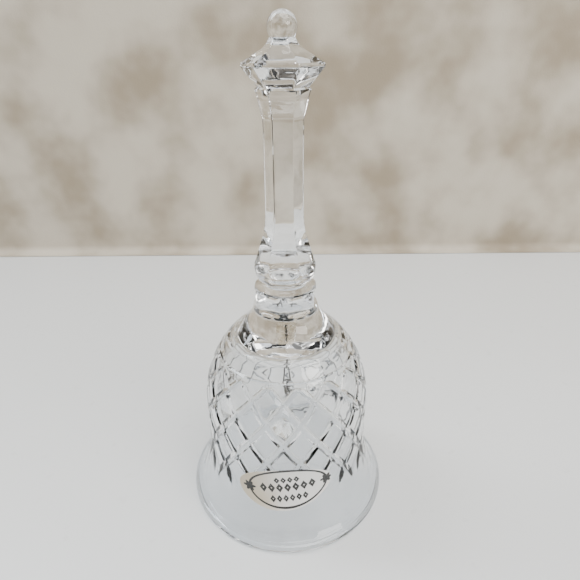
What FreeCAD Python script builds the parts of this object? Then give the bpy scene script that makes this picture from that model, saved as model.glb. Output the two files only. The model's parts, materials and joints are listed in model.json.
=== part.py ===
"""Cut-crystal hand bell: a parametric FreeCAD document, in millimetres.

The origin is the centre of the rim's foot.  +Z runs up the handle, -Y is the front (the side with the label).
Each sub-part is one object whose label names its STEP file.
"""
import FreeCAD, Part
import math
import os

import Sketcher

# name: (value, what it is)
DIMENSIONS = {
    # bell shell
    "rim_radius": (42.0, "outer radius of the rim"),
    "rim_thickness": (3.0, "width of the lip at the rim"),
    "rim_round": (1.2, "rounding of the lip's outer edge"),
    "lip_height": (2.5, "height where the lip becomes the flare"),
    "lip_bead": (0.5, "how far the lip stands out beyond the flare"),
    "body_radius": (33.3, "outer radius of the straight body"),
    "wall": (3.6, "thickness of the blown wall"),
    "waist_height": (27.0, "height where the flare becomes the body"),
    "seat_height": (87.0, "height of the seat where the handle is joined"),
    "seat_radius": (12.3, "radius of that seat"),
    "dome_rise": (34.0, "height of the dome between the body and the neck"),
    "neck_height": (7.0, "height of the neck between the dome and the seat"),
    "neck_spread": (4.9, "how much wider the neck is below than at the seat"),
    "neck_round": (16.0, "radius of the neck's hollow curve"),
    "crown_thickness": (12.7, "solid glass between the hollow's ceiling and the seat"),
    "crown_corner": (2.5, "height of the rounded corner below the ceiling"),
    "crown_round": (4.6, "radius of that corner"),
    "ring_drop": (17.0, "from the seat down to the incised ring above the lattice"),
    "ring_depth": (0.35, "depth of the incised ring"),
    # handle, heights above the seat
    "collar_radius": (12.0, "corner radius of the six-sided collar"),
    "collar_height": (10.0, "height of the collar"),
    "collar_bevel": (1.4, "bevel on the collar's upper edge"),
    "collar_turn": (27.0, "turn of the collar's corners, degrees"),
    "notch_radius": (8.0, "radius of the notch between collar and knop"),
    "notch_height": (1.6, "height of the notch"),
    "knop_radius": (11.2, "radius of the round knop"),
    "knop_height": (9.4, "height of the knop"),
    "root_radius": (9.6, "corner radius where the shaft leaves the knop"),
    "root_height": (12.5, "length of the shaft's tapering root"),
    "shaft_radius": (6.7, "corner radius of the six-sided shaft"),
    "shaft_length": (33.0, "length of the straight shaft"),
    "shaft_turn": (-2.0, "turn of the shaft's corners, degrees"),
    "throat_radius": (9.2, "corner radius of the flared top of the shaft"),
    "throat_height": (10.5, "length of the flared top of the shaft"),
    "finial_radius": (13.1, "corner radius of the finial's widest edge"),
    "finial_lower": (6.6, "height of the finial's lower cone"),
    "finial_upper": (7.6, "height of the finial's upper cone"),
    "finial_tip": (4.4, "corner radius under the ball"),
    "finial_turn": (-8.0, "turn of the finial's corners, degrees"),
    "ball_radius": (4.5, "radius of the ball on top"),
    # clapper
    "socket_radius": (2.5, "radius of the socket drilled in the crown"),
    "socket_depth": (6.0, "depth of that socket"),
    "hook_wire": (0.7, "diameter of the anchor hook's wire"),
    "hook_eye": (2.4, "centre-line height of the hook's eye"),
    "hook_bar": (1.0, "straight length of the eye's lower bar"),
    "hook_corner": (0.6, "centre-line radius of the eye's corners"),
    "hook_drop": (13.2, "from the ceiling to the bar that the link hangs on"),
    "link_wire": (0.8, "diameter of the link's wire"),
    "link_drop": (3.9, "from the hook's bar to the link's lower bar"),
    "link_corner": (0.5, "centre-line radius of the link's lower corners"),
    "clapper_wire": (0.6, "diameter of the clapper's wire"),
    "joint_gap": (0.06, "play between two wires that hang in one another"),
    "loop_height": (6.0, "from the link's bar to the loop's base"),
    "loop_width": (2.7, "centre-line width of the loop's base"),
    "loop_corner": (0.6, "centre-line radius of the base's corners"),
    "tail_radius": (1.2, "centre-line radius of the wire's wound tail"),
    "tail_pitch": (2.0, "rise of one turn of the tail"),
    "tail_turns": (3.0, "turns of the tail"),
    "bead_drop": (28.2, "from the link's bar to the bead's centre"),
    "bead_radius": (6.25, "radius of the crystal bead"),
    "bead_play": (0.08, "radial play of the bead on the wire"),
    "bead_rest": (0.1, "axial play of the bead on its stop"),
    "stop_radius": (1.1, "radius of the crimp below the bead"),
    "stop_height": (1.4, "height of that crimp"),
    "wire_end": (0.5, "wire left below the crimp"),
    # label
    "label_width": (35.5, "width of the label"),
    "label_height": (20.0, "height of the label"),
    "label_thickness": (0.15, "thickness of the paper"),
    "label_level": (26.0, "height of the label's centre"),
    "label_side": (-1.5, "turn of the label's centre from the front, degrees"),
    "label_tilt": (6.6, "tilt of the label, degrees"),
}


class Size:
    """A number together with the sheet expression that gives it."""

    def __init__(self, value, text):
        self.value = value
        self.text = text

    @staticmethod
    def of(other):
        return other if isinstance(other, Size) else Size(float(other), repr(float(other)))

    def __add__(self, other):
        other = Size.of(other)
        return Size(self.value + other.value, f"({self.text} + {other.text})")

    def __sub__(self, other):
        other = Size.of(other)
        return Size(self.value - other.value, f"({self.text} - {other.text})")

    def __mul__(self, other):
        other = Size.of(other)
        return Size(self.value * other.value, f"({self.text} * {other.text})")

    def __truediv__(self, other):
        other = Size.of(other)
        return Size(self.value / other.value, f"({self.text} / {other.text})")

    def __neg__(self):
        return Size(-self.value, f"(0 - {self.text})")


def root(size):
    """Square root of a size."""
    return Size(math.sqrt(size.value), f"sqrt({size.text})")


def cosine(angle):
    """Cosine of an angle given in degrees."""
    return Size(math.cos(math.radians(angle.value)), f"cos({angle.text} * 1deg)")


def sine(angle):
    """Sine of an angle given in degrees."""
    return Size(math.sin(math.radians(angle.value)), f"sin({angle.text} * 1deg)")


def make_sheet(doc):
    """Write the driving dimensions into a sheet and return them by name."""
    sheet = doc.addObject("Spreadsheet::Sheet", "Dims")
    for row, (name, (value, note)) in enumerate(DIMENSIONS.items(), start=1):
        sheet.set(f"A{row}", name)
        sheet.set(f"B{row}", str(value))
        sheet.set(f"C{row}", note)
        sheet.setAlias(f"B{row}", name)
    doc.recompute()
    return {name: Size(float(value), f"Dims.{name}") for name, (value, _) in DIMENSIONS.items()}


def bind(thing, **sizes):
    """Bind properties to expressions; a double underscore stands for a dot."""
    for name, size in sizes.items():
        thing.setExpression(name.replace("__", "."), Size.of(size).text)


def new_body(doc, label):
    body = doc.addObject("PartDesign::Body", label)
    body.Label = label
    return body


def new_sketch(body, name, plane, height=None):
    """Make a sketch on one of the body's own origin planes, raised by height along the plane's normal."""
    sketch = body.newObject("Sketcher::SketchObject", name)
    origin = [item for item in body.Origin.OriginFeatures if item.Role == plane]
    sketch.AttachmentSupport = [(origin[0], "")]
    sketch.MapMode = "FlatFace"
    if height is not None:
        bind(sketch, AttachmentOffset__Base__z=height)
    return sketch


def pin_across(sketch, item, end, kind, size):
    """Fix one coordinate (DistanceX or DistanceY) of a point of a sketch element."""
    size = Size.of(size)
    if size.value == 0.0:
        axis = -2 if kind == "DistanceX" else -1
        sketch.addConstraint(Sketcher.Constraint("PointOnObject", item, end, axis))
        return
    index = sketch.addConstraint(Sketcher.Constraint(kind, -1, 1, item, end, size.value))
    sketch.setExpression(f"Constraints[{index}]", size.text)


def pin_point(sketch, item, end, x, y):
    """Fix both coordinates of a point of a sketch element."""
    pin_across(sketch, item, end, "DistanceX", x)
    pin_across(sketch, item, end, "DistanceY", y)


def arc_between(start, stop, radius, side):
    """Return the arc from start to stop with its centre on the left (side 1) or on the right (side -1)."""
    middle = (start + stop) * 0.5
    chord = stop - start
    reach = math.sqrt(max(radius ** 2 - (chord.Length / 2) ** 2, 0.0))
    left = FreeCAD.Vector(-chord.y, chord.x, 0).normalize()
    centre = middle + left * reach * side
    angles = [math.atan2(p.y - centre.y, p.x - centre.x) for p in (start, stop)]
    if side < 0:
        angles.reverse()
    circle = Part.Circle(centre, FreeCAD.Vector(0, 0, 1), radius)
    return Part.ArcOfCircle(circle, *angles)


def draw_outline(sketch, corners):
    """Draw a closed outline.

    corners lists (x, y) for a straight side to the next corner, or (x, y, radius, side) for an arc to it.
    A half circle is held by one coordinate of its centre instead: (x, y, radius, side, kind, size).
    """
    count = len(corners)
    points = [FreeCAD.Vector(Size.of(c[0]).value, Size.of(c[1]).value, 0) for c in corners]
    ends = []
    for index, corner in enumerate(corners):
        start = points[index]
        stop = points[(index + 1) % count]
        if len(corner) == 2:
            item = sketch.addGeometry(Part.LineSegment(start, stop), False)
            ends.append((1, 2))
        else:
            radius, side = corner[2:4]
            item = sketch.addGeometry(arc_between(start, stop, radius.value, side), False)
            if len(corner) == 4:
                number = sketch.addConstraint(Sketcher.Constraint("Radius", item, radius.value))
                sketch.setExpression(f"Constraints[{number}]", radius.text)
            else:
                pin_across(sketch, item, 3, *corner[4:])
            ends.append((1, 2) if side > 0 else (2, 1))
    for index, corner in enumerate(corners):
        following = (index + 1) % count
        sketch.addConstraint(
            Sketcher.Constraint("Coincident", index, ends[index][1], following, ends[following][0]))
        pin_point(sketch, index, ends[index][0], corner[0], corner[1])


def draw_smooth_loop(sketch, bends):
    """Draw the taut loop round some circles, each (x, y, radius), listed anticlockwise."""
    circles = [tuple(Size.of(size) for size in bend) for bend in bends]
    touches = []
    for index, (x, y, radius) in enumerate(circles):
        next_x, next_y, next_radius = circles[(index + 1) % len(circles)]
        span = FreeCAD.Vector(next_x.value - x.value, next_y.value - y.value, 0)
        outward = math.atan2(span.y, span.x) - math.pi / 2
        lean = math.asin((next_radius.value - radius.value) / span.Length)
        touches.append(outward - lean)
    lines = []
    arcs = []
    for index, (x, y, radius) in enumerate(circles):
        centre = FreeCAD.Vector(x.value, y.value, 0)
        circle = Part.Circle(centre, FreeCAD.Vector(0, 0, 1), radius.value)
        arc = Part.ArcOfCircle(circle, touches[index - 1], touches[index])
        following = circles[(index + 1) % len(circles)]
        reach = FreeCAD.Vector(math.cos(touches[index]), math.sin(touches[index]), 0)
        stop = FreeCAD.Vector(following[0].value, following[1].value, 0) + reach * following[2].value
        item = sketch.addGeometry(arc, False)
        number = sketch.addConstraint(Sketcher.Constraint("Radius", item, radius.value))
        sketch.setExpression(f"Constraints[{number}]", radius.text)
        pin_point(sketch, item, 3, x, y)
        arcs.append(item)
        lines.append(sketch.addGeometry(Part.LineSegment(centre + reach * radius.value, stop), False))
    for index, line in enumerate(lines):
        sketch.addConstraint(Sketcher.Constraint("Tangent", arcs[index], 2, line, 1))
        sketch.addConstraint(Sketcher.Constraint("Tangent", line, 2, arcs[(index + 1) % len(arcs)], 1))


def draw_circle(sketch, x, y, radius):
    """Draw a circle at sheet-driven coordinates."""
    centre = FreeCAD.Vector(Size.of(x).value, Size.of(y).value, 0)
    item = sketch.addGeometry(Part.Circle(centre, FreeCAD.Vector(0, 0, 1), radius.value), False)
    number = sketch.addConstraint(Sketcher.Constraint("Radius", item, radius.value))
    sketch.setExpression(f"Constraints[{number}]", radius.text)
    pin_point(sketch, item, 3, x, y)


def revolve(body, sketch, name, kind="PartDesign::Revolution"):
    """Turn a sketch of the XZ plane about the vertical axis."""
    feature = body.newObject(kind, name)
    feature.Profile = sketch
    feature.ReferenceAxis = (sketch, ["V_Axis"])
    feature.Angle = 360.0
    return feature


def ruled_loft(body, name, turn, sections):
    """Join six-sided sections, given as (height, corner radius), with flat faces."""
    sketches = []
    for index, (height, radius) in enumerate(sections):
        sketch = new_sketch(body, f"{name}_section_{index}", "XY_Plane", height)
        corners = []
        for side in range(6):
            angle = turn + 60.0 * side
            corners.append((radius * cosine(angle), radius * sine(angle)))
        draw_outline(sketch, corners)
        sketches.append(sketch)
    loft = body.newObject("PartDesign::AdditiveLoft", name)
    loft.Profile = sketches[0]
    loft.Sections = sketches[1:]
    loft.Ruled = True
    return loft


class Cup:
    """Heights and curves of the cup that other pieces also follow."""

    def __init__(self, d):
        self.body_radius = d["body_radius"]
        self.waist = d["waist_height"]
        self.ceiling = d["seat_height"] - d["crown_thickness"]
        self.dome_top = d["seat_height"] - d["neck_height"]
        self.shoulder = self.dome_top - d["dome_rise"]
        flare_spread = d["rim_radius"] - d["lip_bead"] - d["body_radius"]
        self.flare_radius = bulge_radius(flare_spread, d["waist_height"] - d["lip_height"])
        dome_spread = d["body_radius"] - d["seat_radius"] - d["neck_spread"]
        self.dome_radius = bulge_radius(dome_spread, d["dome_rise"])

    def flare_at(self, height, inset):
        """Radius of the flare at a height, inset from the outer surface."""
        radius = self.flare_radius + inset
        drop = self.waist - height
        return self.body_radius + self.flare_radius - root(radius * radius - drop * drop)

    def dome_at(self, height, inset):
        """Radius of the dome at a height, inset from the outer surface."""
        radius = self.dome_radius - inset
        rise = height - self.shoulder
        return self.body_radius - self.dome_radius + root(radius * radius - rise * rise)


def bulge_radius(spread, rise):
    """Radius of an arc that starts upright and moves sideways by spread over a rise."""
    return (spread * spread + rise * rise) / (spread * 2)


def make_bell_shell(doc, d, cup):
    """Blown cup: flare, straight body, dome, solid crown with a socket for the clapper's anchor."""
    body = new_body(doc, "bell_shell")
    sketch = new_sketch(body, "shell_outline", "XZ_Plane")
    rim_inner = d["rim_radius"] - d["rim_thickness"]
    inner_round = d["rim_round"] * 0.7
    body_inner = d["body_radius"] - d["wall"]
    corner_height = cup.ceiling - d["crown_corner"]
    corner_radius = cup.dome_at(corner_height, d["wall"])
    draw_outline(sketch, [
        (d["rim_radius"] - d["rim_round"], 0, d["rim_round"], 1),
        (d["rim_radius"], d["rim_round"]),
        (cup.flare_at(d["lip_height"], 0), d["lip_height"], cup.flare_radius, -1),
        (d["body_radius"], d["waist_height"]),
        (d["body_radius"], cup.shoulder, cup.dome_radius, 1),
        (cup.dome_at(cup.dome_top, 0), cup.dome_top, d["neck_round"], -1),
        (d["seat_radius"], d["seat_height"]),
        (0, d["seat_height"]),
        (0, cup.ceiling + d["socket_depth"]),
        (d["socket_radius"], cup.ceiling + d["socket_depth"]),
        (d["socket_radius"], cup.ceiling),
        (corner_radius - d["crown_corner"] * 1.4, cup.ceiling, d["crown_round"], -1),
        (corner_radius, corner_height, cup.dome_radius - d["wall"], -1),
        (body_inner, cup.shoulder),
        (body_inner, d["waist_height"], cup.flare_radius + d["wall"], 1),
        (cup.flare_at(d["lip_height"], d["wall"]), d["lip_height"]),
        (rim_inner, inner_round, inner_round, 1),
        (rim_inner + inner_round, 0),
    ])
    revolve(body, sketch, "shell_turned")

    groove = new_sketch(body, "ring_outline", "XZ_Plane")
    ring_height = d["seat_height"] - d["ring_drop"]
    ring_radius = cup.dome_at(ring_height, 0)
    draw_outline(groove, [
        (ring_radius - d["ring_depth"], ring_height),
        (ring_radius + d["ring_depth"], ring_height - d["ring_depth"]),
        (ring_radius + d["ring_depth"], ring_height + d["ring_depth"]),
    ])
    revolve(body, groove, "incised_ring", "PartDesign::Groove")
    return body


def make_handle(doc, d):
    """Solid pressed handle: six-sided collar, notch, knop, six-sided shaft, finial and ball."""
    body = new_body(doc, "handle_stem")
    collar_top = d["seat_height"] + d["collar_height"]
    knop_base = collar_top + d["notch_height"]
    knop_top = knop_base + d["knop_height"]
    shaft_base = knop_top + d["root_height"]
    shaft_top = shaft_base + d["shaft_length"]
    throat_top = shaft_top + d["throat_height"]
    finial_base = throat_top - 1.0
    equator = finial_base + d["finial_lower"]
    tip = equator + d["finial_upper"]

    core = new_sketch(body, "core_outline", "XZ_Plane")
    draw_outline(core, [
        (0, d["seat_height"] + 1.0),
        (d["notch_radius"], d["seat_height"] + 1.0),
        (d["notch_radius"], knop_base, d["knop_height"] * 0.56, 1),
        (d["root_radius"], knop_top),
        (0, knop_top),
    ])
    revolve(body, core, "core_turned")
    ruled_loft(body, "collar", d["collar_turn"], [
        (d["seat_height"], d["collar_radius"]),
        (collar_top - d["collar_bevel"], d["collar_radius"]),
        (collar_top, d["collar_radius"] - d["collar_bevel"]),
    ])
    ruled_loft(body, "shaft", d["shaft_turn"], [
        (knop_top - 1.5, d["root_radius"]),
        (knop_top + d["root_height"] * 0.35, d["root_radius"] * 0.93),
        (shaft_base, d["shaft_radius"]),
        (shaft_top, d["shaft_radius"]),
        (throat_top, d["throat_radius"]),
    ])
    rise = d["finial_upper"]
    spread = d["finial_radius"] - d["finial_tip"]
    ruled_loft(body, "finial", d["finial_turn"], [
        (finial_base, d["throat_radius"] * 0.92),
        (finial_base + d["finial_lower"] * 0.55, d["throat_radius"] + 1.2),
        (equator, d["finial_radius"]),
        (equator + rise * 0.25, d["finial_tip"] + spread * 0.62),
        (equator + rise * 0.58, d["finial_tip"] + spread * 0.26),
        (tip, d["finial_tip"]),
    ])
    ball = new_sketch(body, "ball_outline", "XZ_Plane")
    centre = tip + d["ball_radius"] * 0.6
    draw_outline(ball, [
        (0, centre - d["ball_radius"], d["ball_radius"], 1, "DistanceX", 0),
        (0, centre + d["ball_radius"]),
    ])
    revolve(body, ball, "ball_turned")
    return body


def cylinder(doc, name, radius, height, base, x=0.0, y=0.0):
    """Upright cylinder whose lower face is at base."""
    thing = doc.addObject("Part::Cylinder", name)
    bind(thing, Radius=radius, Height=height, Placement__Base__x=x, Placement__Base__y=y,
         Placement__Base__z=base)
    return thing


def make_anchor_cement(doc, d, cup):
    """Cement in the crown's socket with a small cone of it below the ceiling."""
    plug = cylinder(doc, "cement_plug", d["socket_radius"], d["socket_depth"], cup.ceiling)
    skirt = doc.addObject("Part::Cone", "cement_skirt")
    skirt_height = d["socket_radius"] * 0.5
    bind(skirt, Radius1=d["socket_radius"] * 0.4, Radius2=d["socket_radius"], Height=skirt_height,
         Placement__Base__z=cup.ceiling - skirt_height)
    whole = doc.addObject("Part::Fuse", "cement_whole")
    whole.Base = plug
    whole.Tool = skirt
    hole = cylinder(doc, "cement_hole", d["hook_wire"] / 2, skirt_height + d["socket_depth"] * 0.8,
                    cup.ceiling - skirt_height)
    cement = doc.addObject("Part::Cut", "anchor_cement")
    cement.Base = whole
    cement.Tool = hole
    cement.Label = "anchor_cement"
    return cement


def bend_wire(body, name, plane, crossing_plane, bends, start, wire):
    """Bend a closed wire taut round circles; start is the level at which it crosses the other plane."""
    path = new_sketch(body, f"{name}_path", plane)
    draw_smooth_loop(path, bends)
    section = new_sketch(body, f"{name}_section", crossing_plane)
    draw_circle(section, 0, start, wire)
    pipe = body.newObject("PartDesign::AdditivePipe", name)
    pipe.Profile = section
    pipe.Spine = (path, [f"Edge{number}" for number in range(1, 2 * len(bends) + 1)])
    return pipe


def pad_shank(body, name, low, high, wire):
    """Add a straight upright length of wire on the axis."""
    section = new_sketch(body, f"{name}_section", "XY_Plane", low)
    draw_circle(section, 0, 0, wire)
    shank = body.newObject("PartDesign::Pad", name)
    shank.Profile = section
    bind(shank, Length=high - low)
    return shank


def make_anchor_hook(doc, d, cup):
    """Wire bedded in the cement and closed into an eye with a straight lower bar, across the front."""
    bar = cup.ceiling - d["hook_drop"]
    top = bar + d["hook_eye"]
    wire = d["hook_wire"] / 2
    corner = d["hook_corner"]
    side = d["hook_bar"] / 2
    body = new_body(doc, "anchor_hook")
    bend_wire(body, "hook_eye", "XZ_Plane", "YZ_Plane", [
        (0, top - corner, corner),
        (-side, bar + corner, corner),
        (side, bar + corner, corner),
    ], bar, wire)
    pad_shank(body, "hook_shank", top, cup.ceiling + d["socket_depth"] * 0.8, wire * 0.94)
    return body


def make_hanger_link(doc, d, cup):
    """Oval link standing front to back, hung on the hook's bar, with a straight lower bar."""
    bar = cup.ceiling - d["hook_drop"]
    bend = (d["hook_wire"] + d["link_wire"]) / 2 + d["joint_gap"]
    lower = bar - d["link_drop"]
    corner = d["link_corner"]
    body = new_body(doc, "hanger_link")
    bend_wire(body, "link_bent", "YZ_Plane", "XZ_Plane", [
        (0, bar, bend),
        (corner - bend, lower + corner, corner),
        (bend - corner, lower + corner, corner),
    ], lower, d["link_wire"] / 2)
    return body


def make_clapper_wire(doc, d, cup):
    """Narrow triangular loop, a straight shank and a tail wound loosely round it."""
    bar = cup.ceiling - d["hook_drop"] - d["link_drop"]
    base = bar - d["loop_height"]
    wire = d["clapper_wire"] / 2
    bend = (d["link_wire"] + d["clapper_wire"]) / 2 + d["joint_gap"]
    half = d["loop_width"] / 2
    corner = d["loop_corner"]
    end = bar - d["bead_drop"] - d["bead_radius"] - d["bead_rest"] - d["stop_height"] - d["wire_end"]
    body = new_body(doc, "clapper_wire")
    bend_wire(body, "loop_bent", "XZ_Plane", "YZ_Plane", [
        (0, bar, bend),
        (corner - half, base + corner, corner),
        (half - corner, base + corner, corner),
    ], base, wire)
    pad_shank(body, "shank", end, base, wire * 0.94)

    start = new_sketch(body, "tail_section", "XZ_Plane")
    draw_circle(start, d["tail_radius"], base, wire)
    tail = body.newObject("PartDesign::AdditiveHelix", "tail_wound")
    tail.Profile = start
    tail.ReferenceAxis = (start, ["V_Axis"])
    tail.Mode = 0
    tail.Reversed = True
    bind(tail, Pitch=d["tail_pitch"], Height=d["tail_pitch"] * d["tail_turns"])
    return body


def make_bead(doc, d, cup):
    """Round crystal bead, drilled through."""
    centre = cup.ceiling - d["hook_drop"] - d["link_drop"] - d["bead_drop"]
    ball = doc.addObject("Part::Sphere", "bead_ball")
    bind(ball, Radius=d["bead_radius"], Placement__Base__z=centre)
    bore = cylinder(doc, "bead_bore", d["clapper_wire"] / 2 + d["bead_play"], d["bead_radius"] * 2.4,
                    centre - d["bead_radius"] * 1.2)
    bead = doc.addObject("Part::Cut", "clapper_bead")
    bead.Base = ball
    bead.Tool = bore
    bead.Label = "clapper_bead"
    return bead


def make_bead_stop(doc, d, cup):
    """Crimp pressed on the wire below the bead."""
    centre = cup.ceiling - d["hook_drop"] - d["link_drop"] - d["bead_drop"]
    top = centre - d["bead_radius"] - d["bead_rest"]
    sleeve = cylinder(doc, "stop_sleeve", d["stop_radius"], d["stop_height"], top - d["stop_height"])
    hole = cylinder(doc, "stop_hole", d["clapper_wire"] / 2, d["stop_height"] * 2, top - d["stop_height"] * 1.5)
    stop = doc.addObject("Part::Cut", "bead_stop")
    stop.Base = sleeve
    stop.Tool = hole
    stop.Label = "bead_stop"
    return stop


def make_label(doc, d, cup):
    """Oval of paper lying on the outside of the flare and the body."""
    skin = new_body(doc, "label_skin")
    outline = new_sketch(skin, "skin_outline", "XZ_Plane")
    paper = d["label_thickness"]
    low = d["label_level"] - d["label_height"] * 0.75
    high = d["label_level"] + d["label_height"] * 0.75
    draw_outline(outline, [
        (cup.flare_at(low, 0), low, cup.flare_radius, -1),
        (d["body_radius"], d["waist_height"]),
        (d["body_radius"], high),
        (d["body_radius"] + paper, high),
        (d["body_radius"] + paper, d["waist_height"], cup.flare_radius - paper, 1),
        (cup.flare_at(low, -paper), low),
    ])
    revolve(skin, outline, "skin_turned")

    oval = doc.addObject("Part::Ellipse", "label_oval")
    bind(oval, MajorRadius=d["label_width"] / 2, MinorRadius=d["label_height"] / 2)
    face_front = FreeCAD.Rotation(FreeCAD.Vector(1, 0, 0), 90)
    tilt = FreeCAD.Rotation(FreeCAD.Vector(0, 0, 1), d["label_tilt"].value)
    side = FreeCAD.Rotation(FreeCAD.Vector(0, 0, 1), d["label_side"].value)
    oval.Placement.Rotation = side * face_front * tilt
    bind(oval, Placement__Base__z=d["label_level"])
    prism = doc.addObject("Part::Extrusion", "label_prism")
    prism.Base = oval
    prism.DirMode = "Custom"
    prism.Dir = side.multVec(FreeCAD.Vector(0, -1, 0))
    prism.Solid = True
    bind(prism, LengthFwd=d["rim_radius"] * 1.2)
    label = doc.addObject("Part::Common", "label")
    label.Base = skin
    label.Tool = prism
    label.Label = "label"
    return label


def check_document(doc, parts):
    """Stop if any object failed or any sub-part has no valid solid."""
    for thing in doc.Objects:
        bad = [state for state in thing.State if state in ("Invalid", "Error")]
        if bad:
            raise RuntimeError(f"{thing.Name} failed: {bad} {thing.getStatusString()}")
    for part in parts:
        shape = part.Shape
        if shape.isNull() or not shape.isValid() or not shape.Solids:
            raise RuntimeError(f"{part.Label} has no valid solid")
        if len(shape.Solids) != 1:
            raise RuntimeError(f"{part.Label} came apart into {len(shape.Solids)} solids")


def main():
    doc = FreeCAD.newDocument("glass_bell")
    d = make_sheet(doc)
    cup = Cup(d)
    parts = [
        make_bell_shell(doc, d, cup),
        make_handle(doc, d),
        make_anchor_cement(doc, d, cup),
        make_anchor_hook(doc, d, cup),
        make_hanger_link(doc, d, cup),
        make_clapper_wire(doc, d, cup),
        make_bead(doc, d, cup),
        make_bead_stop(doc, d, cup),
        make_label(doc, d, cup),
    ]
    doc.recompute()
    check_document(doc, parts)
    os.makedirs("parts", exist_ok=True)
    for part in parts:
        part.Shape.exportStep(os.path.join("parts", part.Label + ".step"))
        box = part.Shape.BoundBox
        print(f"{part.Label:14s} volume {part.Shape.Volume:10.3f}  z {box.ZMin:7.2f} to {box.ZMax:7.2f}"
              f"  radius {box.XMax:6.2f}")


main()
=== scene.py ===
"""A cut lead-crystal hand bell with a diamond lattice, a six-sided handle and a hung glass clapper."""

import sys
import json
import logging
import math
from dataclasses import dataclass, field
from enum import Enum
from typing import Any, Callable, Iterable, Optional, Sequence, Union

import bpy
from mathutils import Matrix, Vector

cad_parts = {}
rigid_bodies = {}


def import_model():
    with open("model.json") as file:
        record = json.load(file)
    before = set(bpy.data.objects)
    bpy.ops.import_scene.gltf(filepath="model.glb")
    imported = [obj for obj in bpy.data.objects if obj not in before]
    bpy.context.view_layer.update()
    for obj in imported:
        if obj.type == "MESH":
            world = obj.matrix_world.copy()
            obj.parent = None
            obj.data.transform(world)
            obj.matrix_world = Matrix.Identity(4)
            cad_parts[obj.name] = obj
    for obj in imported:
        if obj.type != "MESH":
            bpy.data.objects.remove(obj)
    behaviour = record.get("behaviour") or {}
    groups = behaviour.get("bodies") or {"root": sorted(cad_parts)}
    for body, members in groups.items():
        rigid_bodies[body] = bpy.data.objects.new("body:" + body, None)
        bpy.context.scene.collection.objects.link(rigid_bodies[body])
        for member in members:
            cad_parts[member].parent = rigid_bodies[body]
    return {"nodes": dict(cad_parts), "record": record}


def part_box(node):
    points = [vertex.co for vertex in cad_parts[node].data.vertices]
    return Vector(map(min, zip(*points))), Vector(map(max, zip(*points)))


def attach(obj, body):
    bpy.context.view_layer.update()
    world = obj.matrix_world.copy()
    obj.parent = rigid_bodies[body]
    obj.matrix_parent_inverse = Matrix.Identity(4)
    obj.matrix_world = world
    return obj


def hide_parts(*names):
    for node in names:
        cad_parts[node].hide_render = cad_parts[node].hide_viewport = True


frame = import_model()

log = logging.getLogger("glass_bell")

Colour = tuple[float, float, float, float]
Feed = Union["Value", float, int, bool, tuple, bpy.types.Material]


class Body(Enum):
    """Rigid bodies that the new pieces ride on."""

    BELL = "bell"
    CLAPPER = "clapper"
    BEAD = "bead"


class Slot(Enum):
    """Names for material slots; no piece below uses them."""

    CUP = "cup_glass"
    BEAD = "bead_glass"
    STEEL = "steel_wire"


# --------------------------------------------------------------------------- node writing


class Value:
    """A node's output that takes part in ordinary sums."""

    def __init__(self, recipe: "Recipe", socket: bpy.types.NodeSocket) -> None:
        """Keep the output and the tree it belongs to."""
        self.recipe = recipe
        self.socket = socket

    def __add__(self, other: Feed) -> "Value":
        """Sum."""
        return self.recipe.maths("ADD", self, other)

    def __radd__(self, other: Feed) -> "Value":
        """Sum with a plain number on the left."""
        return self.recipe.maths("ADD", other, self)

    def __sub__(self, other: Feed) -> "Value":
        """Difference."""
        return self.recipe.maths("SUBTRACT", self, other)

    def __rsub__(self, other: Feed) -> "Value":
        """Difference with a plain number on the left."""
        return self.recipe.maths("SUBTRACT", other, self)

    def __mul__(self, other: Feed) -> "Value":
        """Product."""
        return self.recipe.maths("MULTIPLY", self, other)

    def __rmul__(self, other: Feed) -> "Value":
        """Product with a plain number on the left."""
        return self.recipe.maths("MULTIPLY", other, self)

    def __truediv__(self, other: Feed) -> "Value":
        """Quotient."""
        return self.recipe.maths("DIVIDE", self, other)

    def __rtruediv__(self, other: Feed) -> "Value":
        """Quotient with a plain number on the left."""
        return self.recipe.maths("DIVIDE", other, self)

    def __abs__(self) -> "Value":
        """Size without its sign."""
        return self.recipe.maths("ABSOLUTE", self)

    def __pow__(self, other: Feed) -> "Value":
        """Power."""
        return self.recipe.maths("POWER", self, other)

    def __mod__(self, other: Feed) -> "Value":
        """Remainder that stays positive."""
        return self.recipe.maths("FLOORED_MODULO", self, other)

    def __lt__(self, other: Feed) -> "Value":
        """1 where it is smaller."""
        return self.recipe.maths("LESS_THAN", self, other)

    def __gt__(self, other: Feed) -> "Value":
        """1 where it is larger."""
        return self.recipe.maths("GREATER_THAN", self, other)


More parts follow.
